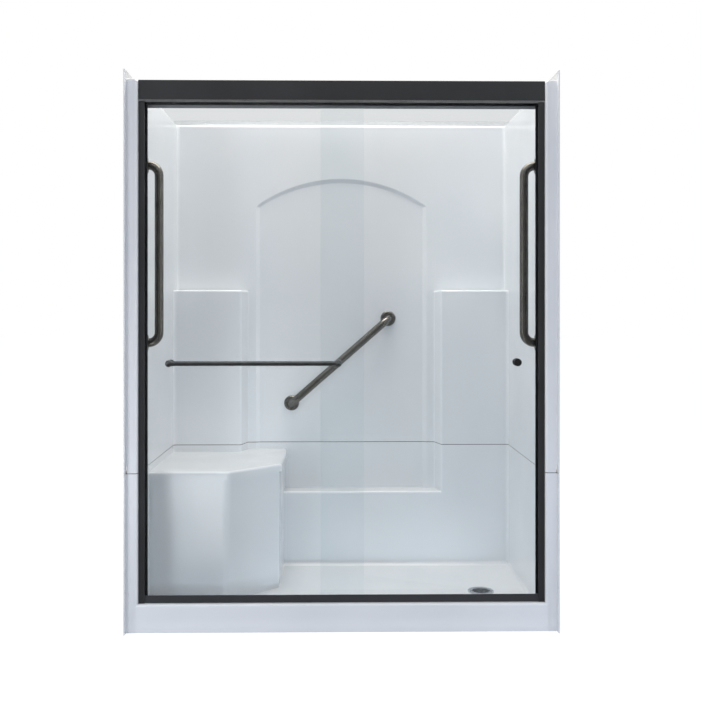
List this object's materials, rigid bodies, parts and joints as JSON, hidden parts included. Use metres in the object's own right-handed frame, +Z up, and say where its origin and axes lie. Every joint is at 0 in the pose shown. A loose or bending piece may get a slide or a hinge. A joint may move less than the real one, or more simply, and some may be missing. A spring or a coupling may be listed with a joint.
{
  "type": "walk-in shower enclosure",
  "caption": "White moulded alcove shower with a corner seat, arched back recess, shelves, grab bars, a floor drain and dark-framed bypass sliding glass doors.",
  "frame": {"origin": "middle of the footprint, on the subfloor", "axes": "+X to the right as seen from the doors, +Y from the doors to the back wall, +Z up"},
  "size_m": [1.524, 0.868, 1.973],
  "materials": {
    "gelcoat_white": "glossy white gelcoat on fibreglass",
    "butyl_black": "soft black butyl",
    "zinc_fastener": "zinc plated",
    "plywood": "raw plywood",
    "drain_plastic": "black moulded plastic",
    "drain_rubber": "black rubber",
    "fibre": "red-brown fibre",
    "drain_steel": "brushed stainless steel",
    "charcoal_aluminium": "dark charcoal satin coating",
    "bumper_rubber": "black rubber",
    "guide_nylon": "black nylon",
    "wheel_nylon": "white nylon",
    "clear_vinyl": "clear vinyl",
    "clear_glass": "clear toughened glass",
    "towel_bar_metal": "dark charcoal satin coating",
    "knob_metal": "near black satin coating",
    "grab_bar_metal": "dark bronze satin coating on steel"
  },
  "bodies": {
    "enclosure": {"back_backing_board": "plywood", "back_grab_bar": "grab_bar_metal", "back_grab_bar_covers": "grab_bar_metal", "back_grab_bar_plates": "grab_bar_metal", "back_grab_bar_screws": "zinc_fastener", "bottom_guide": "guide_nylon", "bottom_guide_screws": "zinc_fastener", "bottom_track": "charcoal_aluminium", "drain_body": "drain_plastic", "drain_gasket": "drain_rubber", "drain_locknut": "drain_plastic", "drain_strainer": "drain_steel", "drain_washer": "fibre", "floor_stringers": "plywood", "header_rail": "charcoal_aluminium", "jamb_bumpers": "bumper_rubber", "jamb_screws": "zinc_fastener", "left_backing_board": "plywood", "left_grab_bar": "grab_bar_metal", "left_grab_bar_covers": "grab_bar_metal", "left_grab_bar_plates": "grab_bar_metal", "left_grab_bar_screws": "zinc_fastener", "left_jamb": "charcoal_aluminium", "lower_section": "gelcoat_white", "right_backing_board": "plywood", "right_grab_bar": "grab_bar_metal", "right_grab_bar_covers": "grab_bar_metal", "right_grab_bar_plates": "grab_bar_metal", "right_grab_bar_screws": "zinc_fastener", "right_jamb": "charcoal_aluminium", "seam_bolts": "zinc_fastener", "seam_gasket": "butyl_black", "seam_nuts": "zinc_fastener", "seat_stiffener": "plywood", "strainer_screws": "drain_steel", "upper_section": "gelcoat_white"},
    "outer_door": {"outer_glass": "clear_glass", "outer_roller_axles": "zinc_fastener", "outer_roller_nuts": "zinc_fastener", "outer_roller_sleeves": "clear_vinyl", "towel_bar": "towel_bar_metal", "towel_bar_bolts": "towel_bar_metal", "towel_bar_posts": "towel_bar_metal", "towel_bar_washers": "clear_vinyl"},
    "inner_door": {"inner_glass": "clear_glass", "inner_roller_axles": "zinc_fastener", "inner_roller_nuts": "zinc_fastener", "inner_roller_sleeves": "clear_vinyl", "pull_knob": "knob_metal", "pull_knob_cap": "knob_metal", "pull_knob_washers": "clear_vinyl"},
    "inner_left_wheel": {"inner_left_wheel": "wheel_nylon"},
    "inner_right_wheel": {"inner_right_wheel": "wheel_nylon"},
    "outer_left_wheel": {"outer_left_wheel": "wheel_nylon"},
    "outer_right_wheel": {"outer_right_wheel": "wheel_nylon"}
  },
  "joints": [
    {"name": "outer_door_slide", "type": "slide", "parent": "enclosure", "child": "outer_door", "axis": [1, 0, 0], "range_m": [0, 0.629]},
    {"name": "inner_door_slide", "type": "slide", "parent": "enclosure", "child": "inner_door", "axis": [-1, 0, 0], "range_m": [0, 0.629]},
    {"name": "outer_left_wheel_spin", "type": "hinge", "parent": "outer_door", "child": "outer_left_wheel", "pos_m": [-0.616, -0.38125, 1.8911], "axis": [0, 1, 0], "continuous": true},
    {"name": "outer_right_wheel_spin", "type": "hinge", "parent": "outer_door", "child": "outer_right_wheel", "pos_m": [-0.013, -0.38125, 1.8911], "axis": [0, 1, 0], "continuous": true},
    {"name": "inner_left_wheel_spin", "type": "hinge", "parent": "inner_door", "child": "inner_left_wheel", "pos_m": [0.013, -0.33875, 1.8911], "axis": [0, 1, 0], "continuous": true},
    {"name": "inner_right_wheel_spin", "type": "hinge", "parent": "inner_door", "child": "inner_right_wheel", "pos_m": [0.616, -0.33875, 1.8911], "axis": [0, 1, 0], "continuous": true}
  ],
  "couplings": [
    {"joint": "outer_left_wheel_spin", "follows": "outer_door_slide", "rad_per_m": 71.429},
    {"joint": "outer_right_wheel_spin", "follows": "outer_door_slide", "rad_per_m": 71.429},
    {"joint": "inner_left_wheel_spin", "follows": "inner_door_slide", "rad_per_m": -71.429},
    {"joint": "inner_right_wheel_spin", "follows": "inner_door_slide", "rad_per_m": -71.429}
  ]
}
